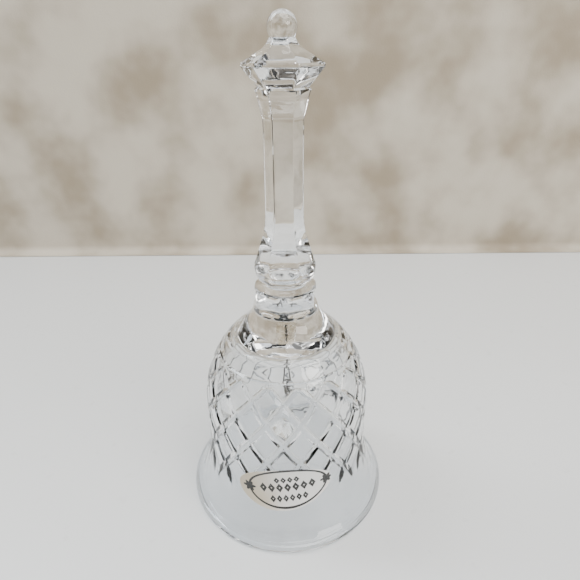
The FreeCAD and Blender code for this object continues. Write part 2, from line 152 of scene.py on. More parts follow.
class Recipe:
    """Writes the nodes of one shader or geometry tree."""

    # a Mix node keeps the sockets of every data type side by side, so its colours go by number
    COLOUR_A = 6
    COLOUR_B = 7
    COLOUR_OUT = 2

    def __init__(self, tree: bpy.types.NodeTree) -> None:
        """Keep the tree that the nodes go into."""
        self.tree = tree

    def node(self, kind: str, settings: Optional[dict[str, Any]] = None,
             sockets: Optional[dict[Union[str, int], Feed]] = None) -> bpy.types.Node:
        """Make a node.

        Args:
            kind: Type name of the node.
            settings: Its own properties, set first; "stops" lists a ramp's places and colours.
            sockets: Values or links of its inputs, by name or number.

        Returns:
            The new node.
        """
        made = self.tree.nodes.new(kind)
        for name, value in (settings or {}).items():
            if name == "stops":
                self._stops(made.color_ramp, value)
            else:
                setattr(made, name, value)
        for key, value in (sockets or {}).items():
            self.feed(made.inputs[key], value)
        return made

    def value(self, kind: str, settings: Optional[dict[str, Any]] = None,
              sockets: Optional[dict[Union[str, int], Feed]] = None,
              output: Union[str, int] = 0) -> Value:
        """Make a node and take one of its outputs.

        Args:
            kind: Type name of the node.
            settings: Its own properties.
            sockets: Values or links of its inputs.
            output: Name or number of the output.

        Returns:
            The output, ready for sums.
        """
        return Value(self, self.node(kind, settings, sockets).outputs[output])

    def feed(self, socket: bpy.types.NodeSocket, value: Feed) -> None:
        """Link an output to an input, or set the input's own value.

        Args:
            socket: The input.
            value: The output or the plain value that it gets.
        """
        if isinstance(value, Value):
            self.tree.links.new(value.socket, socket)
        else:
            socket.default_value = value

    def maths(self, operation: str, *operands: Feed) -> Value:
        """Add a Math node for one operation on numbers."""
        return self.value("ShaderNodeMath", {"operation": operation}, dict(enumerate(operands)))

    def largest(self, first: Feed, *others: Feed) -> Value:
        """Largest of several numbers.

        Args:
            first: One of the numbers.
            others: The rest.

        Returns:
            The largest.
        """
        result = first
        for other in others:
            result = self.maths("MAXIMUM", result, other)
        return result

    def step(self, low: float, high: float, value: Value) -> Value:
        """Smooth rise from 0 to 1.

        Args:
            low: Where the rise begins.
            high: Where it ends.
            value: The number that is read.

        Returns:
            A number from 0 to 1.
        """
        return self.value("ShaderNodeMapRange", {"interpolation_type": "SMOOTHSTEP"},
                          {"Value": value, "From Min": low, "From Max": high})

    def blend(self, factor: Feed, first: Feed, second: Feed) -> Value:
        """Colour between two others.

        Args:
            factor: 0 for the first colour, 1 for the second.
            first: First colour.
            second: Second colour.

        Returns:
            The colour between them.
        """
        return self.value("ShaderNodeMix", {"data_type": "RGBA"}, {
            "Factor": factor, self.COLOUR_A: first, self.COLOUR_B: second}, self.COLOUR_OUT)

    def parts(self, vector: Value) -> tuple[Value, Value, Value]:
        """The three numbers of a vector.

        Args:
            vector: The vector.

        Returns:
            Its x, y and z.
        """
        x, y, z = self.node("ShaderNodeSeparateXYZ", {}, {0: vector}).outputs
        return Value(self, x), Value(self, y), Value(self, z)

    @staticmethod
    def _stops(ramp: bpy.types.ColorRamp, stops: Sequence[tuple[float, Colour]]) -> None:
        """Give a ramp its places and colours.

        Args:
            ramp: The ramp.
            stops: Place from 0 to 1 and colour of each stop.
        """
        while len(ramp.elements) < len(stops):
            ramp.elements.new(0.5)
        for element, (place, colour) in zip(ramp.elements, stops):
            element.position = place
            element.color = colour


# --------------------------------------------------------------------------- finishes


@dataclass(frozen=True)
class Finish:
    """A surface's looks."""

    name: str

    def dress(self) -> bpy.types.Material:
        """Make the material.

        Returns:
            The finished material.
        """
        material = bpy.data.materials.new(self.name)
        material.use_nodes = True
        material.node_tree.nodes.clear()
        recipe = Recipe(material.node_tree)
        shader = self.shade(recipe)
        recipe.node("ShaderNodeOutputMaterial", {}, {"Surface": shader})
        return material

    def shade(self, recipe: Recipe) -> Value:
        """Write the surface's shader.

        Args:
            recipe: The material's tree.

        Returns:
            The shader.
        """
        raise NotImplementedError

    @staticmethod
    def place(recipe: Recipe) -> Value:
        """Position on the piece, in metres."""
        return recipe.value("ShaderNodeTexCoord", {}, {}, "Object")

    @staticmethod
    def relief(recipe: Recipe, height: Value, strength: float, distance: float) -> Value:
        """Unevenness of the surface.

        Args:
            recipe: The tree being written.
            height: Relief from 0 to 1.
            strength: How much of it shows.
            distance: Height in metres of a relief of 1.

        Returns:
            The uneven surface's normal.
        """
        return recipe.value("ShaderNodeBump", {}, {
            "Strength": strength, "Distance": distance, "Height": height}, "Normal")

    @staticmethod
    def cloud(recipe: Recipe, where: Feed, scale: float, detail: float = 3.0) -> Value:
        """Soft random variation.

        Args:
            recipe: The tree being written.
            where: Position that it follows.
            scale: Number of clouds in a metre.
            detail: Octaves of finer clouds.

        Returns:
            A number from 0 to 1.
        """
        return recipe.value("ShaderNodeTexNoise", {}, {"Vector": where, "Scale": scale, "Detail": detail},
                            "Fac")


@dataclass(frozen=True)
class CrystalGlass(Finish):
    """Polished lead crystal with the faint waviness and dust of handled glass."""

    tint: Colour = (0.98, 0.988, 0.992, 1.0)
    smear: Colour = (0.955, 0.965, 0.972, 1.0)
    shadow: Colour = (0.45, 0.48, 0.52, 1.0)
    index: float = 1.55
    waviness: float = 0.1
    wave_scale: float = 70.0
    wave_height: float = 0.004
    dust_scale: float = 900.0
    dust_edges: tuple[float, float] = (0.5, 0.8)
    polish: float = 0.002
    dulling: float = 0.02

    def shade(self, recipe: Recipe) -> Value:
        """Clear glass whose surface is faintly uneven; some lamplight passes straight through.

        Args:
            recipe: The material's tree.

        Returns:
            The shader.
        """
        where = self.place(recipe)
        haze = recipe.step(*self.dust_edges, self.cloud(recipe, where, self.dust_scale, 4.0))
        bump = self.relief(recipe, self.cloud(recipe, where, self.wave_scale, 2.0), self.waviness,
                           self.wave_height)
        glass = recipe.value("ShaderNodeBsdfPrincipled", {}, {
            "Base Color": recipe.blend(haze, self.tint, self.smear),
            "Roughness": haze * self.dulling + self.polish,
            "IOR": self.index,
            "Transmission Weight": 1.0,
            "Normal": bump})
        lamp_ray = recipe.value("ShaderNodeLightPath", {}, {}, "Is Shadow Ray")
        clear = recipe.value("ShaderNodeBsdfTransparent", {}, {"Color": self.shadow})
        return recipe.value("ShaderNodeMixShader", {}, {0: lamp_ray, 1: glass, 2: clear})


@dataclass(frozen=True)
class WireSteel(Finish):
    """Drawn wire, dulled and darkened with age."""

    light: Colour = (0.2, 0.19, 0.175, 1.0)
    dark: Colour = (0.055, 0.046, 0.038, 1.0)
    tarnish_scale: float = 420.0
    tarnish_edges: tuple[float, float] = (0.42, 0.68)
    mark_scale: float = 3200.0
    mark_strength: float = 0.25
    mark_height: float = 0.00008
    polish: float = 0.3
    dulling: float = 0.25

    def shade(self, recipe: Recipe) -> Value:
        """Dark metal with tarnished patches and fine drawing marks.

        Args:
            recipe: The material's tree.

        Returns:
            The shader.
        """
        where = self.place(recipe)
        patches = recipe.step(*self.tarnish_edges, self.cloud(recipe, where, self.tarnish_scale))
        bump = self.relief(recipe, self.cloud(recipe, where, self.mark_scale, 2.0), self.mark_strength,
                           self.mark_height)
        return recipe.value("ShaderNodeBsdfPrincipled", {}, {
            "Base Color": recipe.blend(patches, self.light, self.dark),
            "Metallic": 1.0,
            "Roughness": patches * self.dulling + self.polish,
            "Normal": bump})


@dataclass(frozen=True)
class SetCement(Finish):
    """Clear cement that has set slightly cloudy round the clapper's hook."""

    clear: Colour = (0.97, 0.97, 0.95, 1.0)
    cloudy: Colour = (0.8, 0.73, 0.58, 1.0)
    index: float = 1.04
    cloud_scale: float = 650.0
    cloud_edges: tuple[float, float] = (0.4, 0.7)
    dimple_scale: float = 500.0
    dimple_strength: float = 0.3
    dimple_height: float = 0.0003
    polish: float = 0.1
    dulling: float = 0.4

    def shade(self, recipe: Recipe) -> Value:
        """Almost clear cement with pale clouds and small dimples.

        Args:
            recipe: The material's tree.

        Returns:
            The shader.
        """
        where = self.place(recipe)
        clouds = recipe.step(*self.cloud_edges, self.cloud(recipe, where, self.cloud_scale))
        bump = self.relief(recipe, self.cloud(recipe, where, self.dimple_scale), self.dimple_strength,
                           self.dimple_height)
        return recipe.value("ShaderNodeBsdfPrincipled", {}, {
            "Base Color": recipe.blend(clouds, self.clear, self.cloudy),
            "Roughness": clouds * self.dulling + self.polish,
            "IOR": self.index,
            "Transmission Weight": 1.0,
            "Normal": bump})


@dataclass(frozen=True)
class LozengeRow:
    """A short row of printed lozenges."""

    level: float
    pitch: float
    count: int
    height: float


@dataclass(frozen=True)
class PaperSticker(Finish):
    """Thin paper sticker with an oval line, two rosettes and rows of lozenges."""

    middle: tuple[float, float]
    tilt: float = math.radians(6.6)
    cream: Colour = (0.62, 0.54, 0.41, 1.0)
    white: Colour = (0.83, 0.81, 0.78, 1.0)
    ink: Colour = (0.012, 0.011, 0.01, 1.0)
    oval: tuple[float, float] = (0.0148, 0.0092)
    shift: tuple[float, float] = (0.0011, 0.0004)
    line: float = 0.058
    line_taper: float = 0.03
    rosette: float = 0.0025
    petals: float = 6.0
    petal_depth: float = 0.2
    rosette_heart: float = 0.14
    rows: tuple[LozengeRow, ...] = (
        LozengeRow(0.0045, 0.0025, 4, 0.0016), LozengeRow(0.0006, 0.0031, 7, 0.0024),
        LozengeRow(-0.0048, 0.0025, 6, 0.0018))
    lozenge_width: float = 2.2
    lozenge_heart: float = 0.2
    fibre_scale: float = 1500.0
    fibre_edges: tuple[float, float] = (0.55, 0.75)
    fibre_colour: float = 0.25
    fibre_strength: float = 0.25
    fibre_height: float = 0.0001
    cream_edge_scale: float = 110.0
    cream_edges: tuple[float, float] = (-0.013, 0.002)
    cream_edge_wander: float = 0.012
    wear_scale: float = 2600.0
    wear_edges: tuple[float, float] = (0.3, 0.42)
    wear_loss: float = 0.2
    dullness: float = 0.55
    ink_gloss: float = 0.15

    def shade(self, recipe: Recipe) -> Value:
        """Paper that is cream at its left end and white towards the right, with dark print and soft fibres.

        Args:
            recipe: The material's tree.

        Returns:
            The shader.
        """
        where = self.place(recipe)
        x, _, z = recipe.parts(where)
        across = x - self.middle[0]
        up = z - self.middle[1]
        u = across * math.cos(self.tilt) + up * math.sin(self.tilt)
        v = up * math.cos(self.tilt) - across * math.sin(self.tilt)
        fibres = self.cloud(recipe, where, self.fibre_scale, 6.0)
        # the paper turns from cream at the left end to white towards the right, along a wandering edge
        wander = (self.cloud(recipe, where, self.cream_edge_scale) - 0.5) * self.cream_edge_wander
        cream_to_white = recipe.step(*self.cream_edges, u + wander)
        paper = recipe.blend(cream_to_white, self.cream, self.white)
        paper = recipe.blend(recipe.step(*self.fibre_edges, fibres) * self.fibre_colour, paper, self.cream)
        wear = recipe.step(*self.wear_edges, self.cloud(recipe, where, self.wear_scale, 2.0))
        print_mask = (self._print(recipe, u - self.shift[0], v - self.shift[1])
                      * (wear * self.wear_loss + (1 - self.wear_loss)))
        bump = self.relief(recipe, fibres, self.fibre_strength, self.fibre_height)
        return recipe.value("ShaderNodeBsdfPrincipled", {}, {
            "Base Color": recipe.blend(print_mask, paper, self.ink),
            "Roughness": self.dullness - print_mask * self.ink_gloss,
            "Normal": bump})

    def _print(self, recipe: Recipe, u: Value, v: Value) -> Value:
        """Where the ink lies.

        Args:
            recipe: The tree being written.
            u: Distance to the right of the print's middle.
            v: Distance above it.

        Returns:
            1 on the ink and 0 on bare paper.
        """
        half_width, half_height = self.oval
        reach = abs(u / half_width)
        away = recipe.maths("SQRT", reach * reach + (v / half_height) * (v / half_height))
        weight = self.line - reach * self.line_taper
        marks = [abs(away - 1) < weight]
        for side in (-1, 1):
            marks.append(self._rosette(recipe, u - side * half_width, v))
        marks += [self._lozenges(row, u, v - row.level) for row in self.rows]
        return recipe.largest(*marks)

    def _rosette(self, recipe: Recipe, u: Value, v: Value) -> Value:
        """A petalled spot with a bare heart.

        Args:
            recipe: The tree being written.
            u: Distance to the right of its middle.
            v: Distance above it.

        Returns:
            1 on the ink and 0 on bare paper.
        """
        turn = recipe.maths("ARCTAN2", v, u)
        petals = recipe.maths("COSINE", turn * self.petals) * self.petal_depth + (1 - self.petal_depth)
        away = recipe.maths("SQRT", u * u + v * v)
        heart = away > self.rosette * self.rosette_heart
        return (away < petals * self.rosette) * heart

    def _lozenges(self, row: LozengeRow, u: Value, v: Value) -> Value:
        """A row of lozenges with open hearts.

        Args:
            row: Its sizes.
            u: Distance to the right of the row's middle.
            v: Distance above it.

        Returns:
            1 on the ink and 0 on bare paper.
        """
        along_cell = abs((u / row.pitch + row.count / 2) % 1.0 - 0.5) * self.lozenge_width
        lozenge = along_cell + abs(v) / row.height
        inside = abs(u) < row.pitch * row.count / 2
        return (lozenge < 1.0) * (lozenge > self.lozenge_heart) * inside


@dataclass(frozen=True)
class TableTop(Finish):
    """Pale painted table top with faint scuffs."""

    pale: Colour = (0.72, 0.725, 0.71, 1.0)
    dull: Colour = (0.64, 0.64, 0.62, 1.0)
    tone_scale: float = 6.0
    tone_share: float = 0.4
    scuff_scale: float = 160.0
    scuff_edges: tuple[float, float] = (0.62, 0.72)
    scuff_dulling: float = 0.1
    brush_scale: float = 300.0
    brush_strength: float = 0.15
    brush_height: float = 0.0003
    satin: float = 0.38

    def shade(self, recipe: Recipe) -> Value:
        """Satin paint with a soft unevenness.

        Args:
            recipe: The material's tree.

        Returns:
            The shader.
        """
        where = self.place(recipe)
        broad = self.cloud(recipe, where, self.tone_scale)
        scuffs = recipe.step(*self.scuff_edges, self.cloud(recipe, where, self.scuff_scale, 5.0))
        bump = self.relief(recipe, self.cloud(recipe, where, self.brush_scale), self.brush_strength,
                           self.brush_height)
        dulled = scuffs * self.tone_share + broad * self.tone_share
        return recipe.value("ShaderNodeBsdfPrincipled", {}, {
            "Base Color": recipe.blend(dulled, self.pale, self.dull),
            "Roughness": self.satin + scuffs * self.scuff_dulling,
            "Normal": bump})


@dataclass(frozen=True)
class BackCloth(Finish):
    """Warm, softly mottled backdrop."""

    light: Colour = (0.6, 0.54, 0.44, 1.0)
    dark: Colour = (0.34, 0.28, 0.2, 1.0)
    mottle_scale: float = 16.0
    mottle_edges: tuple[float, float] = (0.35, 0.7)
    weave_scale: float = 700.0
    weave_strength: float = 0.3
    weave_height: float = 0.0005
    matt: float = 0.85

    def shade(self, recipe: Recipe) -> Value:
        """Matt cloth in two close warm tones.

        Args:
            recipe: The material's tree.

        Returns:
            The shader.
        """
        where = self.place(recipe)
        mottle = recipe.step(*self.mottle_edges, self.cloud(recipe, where, self.mottle_scale))
        bump = self.relief(recipe, self.cloud(recipe, where, self.weave_scale, 2.0), self.weave_strength,
                           self.weave_height)
        return recipe.value("ShaderNodeBsdfPrincipled", {}, {
            "Base Color": recipe.blend(mottle, self.light, self.dark),
            "Roughness": self.matt,
            "Normal": bump})


# --------------------------------------------------------------------------- mesh building


class Skin:
    """A closed surface gathered ring by ring, with each ring's points in order round the axis."""

    LEVEL_TOLERANCE = 2e-6

    def __init__(self) -> None:
        """Start with nothing."""
        self.points: list[tuple[float, float, float]] = []
        self.faces: list[tuple[int, ...]] = []

    def ring(self, angles: Sequence[float], radius: Union[float, Callable[[float], float]],
             height: float) -> list[int]:
        """Add a ring of points.

        Args:
            angles: Directions round the axis, rising.
            radius: Distance from the axis, or a function that gives it for a direction.
            height: Level of the ring.

        Returns:
            The numbers of its points.
        """
        start = len(self.points)
        for angle in angles:
            reach = radius(angle) if callable(radius) else radius
            self.points.append((reach * math.cos(angle), reach * math.sin(angle), height))
        return list(range(start, len(self.points)))

    def pole(self, height: float) -> list[int]:
        """Add a single point on the axis."""
        self.points.append((0.0, 0.0, height))
        return [len(self.points) - 1]

    def borrow(self, mesh: bpy.types.Mesh, levels: Sequence[float]) -> list[list[int]]:
        """Take over a mesh that lies between rings.

        Args:
            mesh: The mesh to take over.
            levels: Heights of its open edges.

        Returns:
            For each level, the numbers of the points on it, in order round the axis.
        """
        start = len(self.points)
        self.points.extend(tuple(vertex.co) for vertex in mesh.vertices)
        self.faces.extend(tuple(start + corner for corner in face.vertices) for face in mesh.polygons)
        rings = []
        for level in levels:
            found = [start + vertex.index for vertex in mesh.vertices
                     if abs(vertex.co.z - level) < self.LEVEL_TOLERANCE]
            rings.append(sorted(found, key=self.bearing))
        return rings

    def bearing(self, number: int) -> float:
        """Direction of a point round the axis."""
        x, y, _ = self.points[number]
        return math.atan2(y, x)

    def bridge(self, before: Sequence[int], after: Sequence[int]) -> None:
        """Close the strip between two rings or between a ring and a pole.

        Args:
            before: The ring that comes first along the outline.
            after: The next ring.
        """
        if len(before) == 1:
            self.faces.extend((before[0], after[(i + 1) % len(after)], after[i]) for i in range(len(after)))
        elif len(after) == 1:
            self.faces.extend((before[i], before[(i + 1) % len(before)], after[0])
                              for i in range(len(before)))
        elif len(before) == len(after):
            count = len(before)
            for i in range(count):
                j = (i + 1) % count
                self.faces.append((before[i], before[j], after[j], after[i]))
        else:
            self._zip(before, after)

    def _zip(self, before: Sequence[int], after: Sequence[int]) -> None:
        """Close the strip between two rings that differ in number of points.

        Args:
            before: The ring that comes first along the outline.
            after: The next ring.
        """
        first = [self.bearing(number) for number in before]
        second = [self.bearing(number) for number in after]
        first.append(first[0] + 2 * math.pi)
        second.append(second[0] + 2 * math.pi)
        i = j = 0
        while i < len(before) or j < len(after):
            here = before[i % len(before)]
            there = after[j % len(after)]
            if j == len(after) or (i < len(before) and first[i + 1] <= second[j + 1]):
                i += 1
                self.faces.append((here, before[i % len(before)], there))
            else:
                j += 1
                self.faces.append((here, after[j % len(after)], there))

    def finish(self, name: str, material: bpy.types.Material, crease: float) -> bpy.types.Object:
        """Make the object.

        Args:
            name: Name of the piece.
            material: Its material.
            crease: Angle in degrees above which an edge stays crisp.

        Returns:
            The new object, already in the scene.
        """
        mesh = bpy.data.meshes.new(name)
        mesh.from_pydata(self.points, [], self.faces)
        mesh.validate()
        mesh.materials.append(material)
        mesh.shade_smooth()
        mesh.set_sharp_from_angle(angle=math.radians(crease))
        return settle(name, mesh)


def settle(name: str, mesh: bpy.types.Mesh) -> bpy.types.Object:
    """Put a mesh in the scene as an object at the origin.

    Args:
        name: Name of the object.
        mesh: Its mesh, in place.

    Returns:
        The object.
    """
    thing = bpy.data.objects.new(name, mesh)
    bpy.context.scene.collection.objects.link(thing)
    return thing


def grow(name: str, data: bpy.types.ID, tree: bpy.types.NodeTree,
         sizes: dict[str, Any]) -> bpy.types.Mesh:
    """Run a geometry tree on some data and keep the plain mesh.

    Args:
        name: Name of the mesh.
        data: Mesh or curve that the tree starts from.
        tree: The geometry tree.
        sizes: Values of its named inputs.

    Returns:
        The resulting mesh, with no modifier left.
    """
    thing = bpy.data.objects.new(name, data)
    bpy.context.scene.collection.objects.link(thing)
    modifier = thing.modifiers.new("nodes", "NODES")
    modifier.node_group = tree
    for item in tree.interface.items_tree:
        if item.item_type == "SOCKET" and item.in_out == "INPUT" and item.name in sizes:
            modifier[item.identifier] = sizes[item.name]
    bpy.context.view_layer.update()
    evaluated = thing.evaluated_get(bpy.context.evaluated_depsgraph_get())
    mesh = bpy.data.meshes.new_from_object(evaluated)
    mesh.name = name
    thing.modifiers.clear()
    bpy.data.objects.remove(thing)
    return mesh


class GeometryRecipe(Recipe):
    """A geometry tree with named inputs."""

    def __init__(self, name: str, inputs: dict[str, tuple[str, Any]]) -> None:
        """Make the tree.

        Args:
            name: Name of the tree.
            inputs: For each input's name, its socket type and first value.
        """
        tree = bpy.data.node_groups.new(name, "GeometryNodeTree")
        super().__init__(tree)
        tree.interface.new_socket("Geometry", in_out="OUTPUT", socket_type="NodeSocketGeometry")
        tree.interface.new_socket("Geometry", in_out="INPUT", socket_type="NodeSocketGeometry")
        for label, (kind, first) in inputs.items():
            socket = tree.interface.new_socket(label, in_out="INPUT", socket_type=kind)
            if first is not None:
                socket.default_value = first
        self.entry = self.node("NodeGroupInput")

    def given(self, name: str) -> Value:
        """One of the tree's inputs."""
        return Value(self, self.entry.outputs[name])

    def deliver(self, geometry: Value, finish: Value) -> bpy.types.NodeTree:
        """End the tree with real geometry in one finish.

        Args:
            geometry: What the tree has made.
            finish: The material.

        Returns:
            The finished tree.
        """
        real = self.value("GeometryNodeRealizeInstances", {}, {"Geometry": geometry})
        dressed = self.value("GeometryNodeSetMaterial", {}, {"Geometry": real, "Material": finish})
        self.node("NodeGroupOutput", {}, {"Geometry": dressed})
        return self.tree


def arc(start: tuple[float, float], end: tuple[float, float], radius: float, side: int,
        count: int) -> list[tuple[float, float]]:
    """Points along an arc in an outline, the first one left out.

    Args:
        start: Radius and height where the arc begins.
        end: Radius and height where it ends.
        radius: Its own radius.
        side: 1 if its centre lies to the left of the way from start to end, -1 if to the right.
        count: Number of steps.

    Returns:
        Radii and heights of the points.
    """
    first, last = Vector(start), Vector(end)
    way = last - first
    off = math.sqrt(max(radius * radius - way.length_squared / 4, 0.0))
    centre = (first + last) / 2 + Vector((-way.y, way.x)).normalized() * off * side
    turn = math.atan2(first.y - centre.y, first.x - centre.x)
    sweep = 2 * math.asin(min(way.length / 2 / radius, 1.0)) * side
    return [(centre.x + radius * math.cos(turn + sweep * i / count),
             centre.y + radius * math.sin(turn + sweep * i / count)) for i in range(1, count + 1)]


def wear(node: str, material: bpy.types.Material) -> None:
    """Give a CAD solid a material in every one of its slots.

    Args:
        node: Name of the solid.
        material: The material.
    """
    thing = frame["nodes"][node]
    if not thing.material_slots:
        thing.data.materials.append(material)
    for place in thing.material_slots:
        place.material = material


def along(table: Sequence[tuple[float, float]], place: float) -> float:
    """Read a short table of places and sizes, with straight lines between its places.

    Args:
        table: Places, rising, each with its size.
        place: Where it is read.

    Returns:
        The size there.
    """
    for (low, first), (high, second) in zip(table, table[1:]):
        if place <= high:
            return first + (second - first) * max(place - low, 0.0) / (high - low)
    return table[-1][1]


def soft_least(first: float, second: float, rounding: float) -> float:
    """Smaller of two sizes, with the corner between them rounded.

    Args:
        first: One size.
        second: The other.
        rounding: How far from equal the corner starts to show.

    Returns:
        The smaller size, or a little less near the corner.
    """
    low = min(first, second)
    nearness = math.exp((low - first) / rounding) + math.exp((low - second) / rounding)
    return low - rounding * math.log(nearness)


# --------------------------------------------------------------------------- the crystal


@dataclass
class Cup:
    """The bell's cup: rounded rim, flare, straight body, dome and neck."""

    rim_radius: float = field(init=False)
    seat_height: float = field(init=False)
    flare_radius: float = field(init=False)
    dome_radius: float = field(init=False)
    rim_thickness: float = 0.003
    rim_round: float = 0.0012
    inner_round: float = 0.00084
    lip_height: float = 0.0032
    lip_bead: float = 0.0011
    notch_depth: float = 0.0013
    notch_round: float = 0.00156
    notch_rise: float = 0.0008
    body_radius: float = 0.0333
    wall: float = 0.0036
    waist_height: float = 0.027
    shoulder_height: float = 0.046
    dome_top: float = 0.080
    seat_radius: float = 0.0123
    neck_radius: float = 0.0172
    neck_round: float = 0.016
    ceiling: float = 0.0743
    crown_corner: float = 0.0025
    crown_lead: float = 0.0035
    crown_round: float = 0.0046
    rim_margin: float = 0.00008
    ring_height: float = 0.0702
    ring_depth: float = 0.00035

    def __post_init__(self) -> None:
        """Take the overall sizes from the frame and work out the curves."""
        low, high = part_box("bell_shell")
        self.rim_radius = min(-low.x, -low.y, high.x, high.y) - self.rim_margin
        self.seat_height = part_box("handle_stem")[0].z
        self.flare_radius = self._bulge(self.rim_radius - self.lip_bead - self.body_radius,
                                        self.waist_height - self.lip_height)
        self.dome_radius = self._bulge(self.body_radius - self.neck_radius,
                                       self.dome_top - self.shoulder_height)

    @staticmethod
    def _bulge(spread: float, rise: float) -> float:
        """Radius of an arc that starts upright and moves sideways by spread over a rise."""
        return (spread * spread + rise * rise) / (2 * spread)

    def outer(self, height: float, inset: float = 0.0) -> float:
        """Radius of the flare, body or dome at a height.

        Args:
            height: Level above the table.
            inset: Depth below the outer surface.

        Returns:
            The radius, without the cut lattice.
        """
        rise = max(height - self.shoulder_height, 0.0)
        drop = max(self.waist_height - height, 0.0)
        dome = self.dome_radius - inset
        flare = self.flare_radius + inset
        return (self.body_radius - inset + math.sqrt(dome * dome - rise * rise) - dome
                + flare - math.sqrt(flare * flare - drop * drop))

    def wall_run(self, start: float, end: float, count: int, inset: float = 0.0) -> list[tuple[float, float]]:
        """Points along the flare, body or dome, the first one left out.

        Args:
            start: Height where the run begins.
            end: Height where it ends.
            count: Number of steps.
            inset: Depth below the outer surface.

        Returns:
            Radii and heights of the points.
        """
        heights = [start + (end - start) * step / count for step in range(1, count + 1)]
        return [(self.outer(height, inset), height) for height in heights]

    def inside(self) -> list[tuple[float, float]]:
        """Outline of the hollow, from the middle of the ceiling down to the foot of the rim.

        Returns:
            Radii and heights of its points.
        """
        corner_height = self.ceiling - self.crown_corner
        corner = (self.outer(corner_height, self.wall), corner_height)
        turn_in = (corner[0] - self.crown_lead, self.ceiling)
        outline = [(turn_in[0] * step / 3, self.ceiling) for step in range(1, 4)]
        outline += arc(turn_in, corner, self.crown_round, -1, 12)
        outline += self.wall_run(corner_height, self.shoulder_height, 18, self.wall)
        outline += self.wall_run(self.shoulder_height, self.waist_height, 4, self.wall)
        outline += self.wall_run(self.waist_height, self.lip_height, 16, self.wall)
        rim_inner = (self.rim_radius - self.rim_thickness, self.inner_round)
        foot = (rim_inner[0] + self.inner_round, 0.0)
        return outline + [rim_inner] + arc(rim_inner, foot, self.inner_round, 1, 10)

    def lip(self, top: float) -> list[tuple[float, float]]:
        """Outline from the foot of the rim up the outside, over its roll and notch.

        Args:
            top: Height just above its last point.

        Returns:
            Radii and heights of its points.
        """
        foot = (self.rim_radius - self.rim_round, 0.0)
        brow = (self.rim_radius, self.rim_round)
        notch = (self.rim_radius - self.notch_depth, self.lip_height)
        low = self.lip_height + self.notch_rise
        outline = [foot] + arc(foot, brow, self.rim_round, 1, 10)
        outline += arc(brow, notch, self.notch_round, 1, 8)
        outline += [(self.outer(low), low - self.notch_rise / 2), (self.outer(low), low)]
        return outline + self.wall_run(low, top, 12)[:-1]

    def dome(self) -> list[tuple[float, float]]:
        """Outline from the incised ring above the lattice to the handle's seat.

        Returns:
            Radii and heights of its points.
        """
        below = self.ring_height - self.ring_depth
        above = self.ring_height + self.ring_depth
        outline = [(self.outer(below), below),
                   (self.outer(self.ring_height) - self.ring_depth, self.ring_height),
                   (self.outer(above), above)]
        outline += self.wall_run(above, self.dome_top, 12)
        return outline + arc(outline[-1], (self.seat_radius, self.seat_height), self.neck_round, -1, 12)


